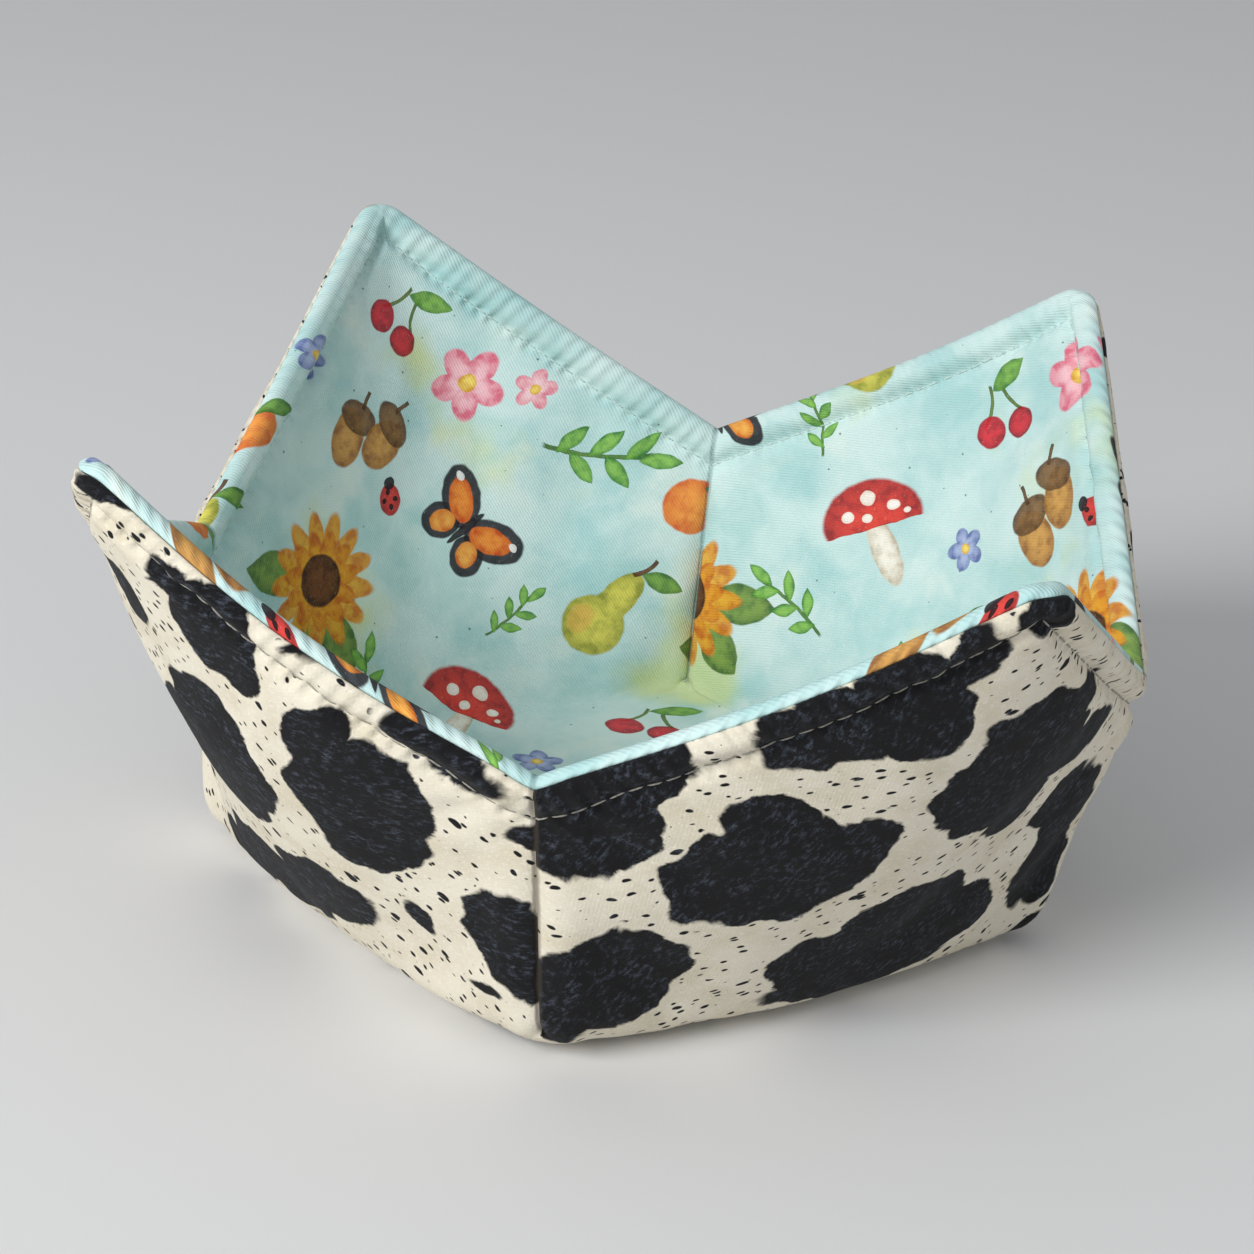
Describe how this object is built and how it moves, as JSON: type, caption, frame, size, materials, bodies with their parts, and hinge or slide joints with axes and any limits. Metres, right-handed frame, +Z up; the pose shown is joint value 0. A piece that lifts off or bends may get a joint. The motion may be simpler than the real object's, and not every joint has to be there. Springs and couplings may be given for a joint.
{
  "type": "microwave bowl cozy",
  "caption": "Padded cotton bowl holder, sewn from two quilted squares with darted corners, square base and four pointed sides that hold a hot bowl.",
  "frame": {"origin": "centre of the square base's underside", "axes": "+Z up out of the mouth, X and Y along the base's edges, the four points over -Y, +X, +Y and -X"},
  "size_m": [0.21, 0.2091, 0.1004],
  "materials": {
    "outer_fabric": "matt",
    "outer_batting": "matt",
    "lining_batting": "matt",
    "lining_fabric": "matt",
    "needle_thread": "matt",
    "bobbin_thread": "matt"
  },
  "bodies": {
    "root": {"outer_shell": "outer_fabric", "outer_batting": "outer_batting", "lining_batting": "lining_batting", "lining": "lining_fabric", "needle_thread": "needle_thread", "bobbin_thread": "bobbin_thread"}
  },
  "joints": []
}
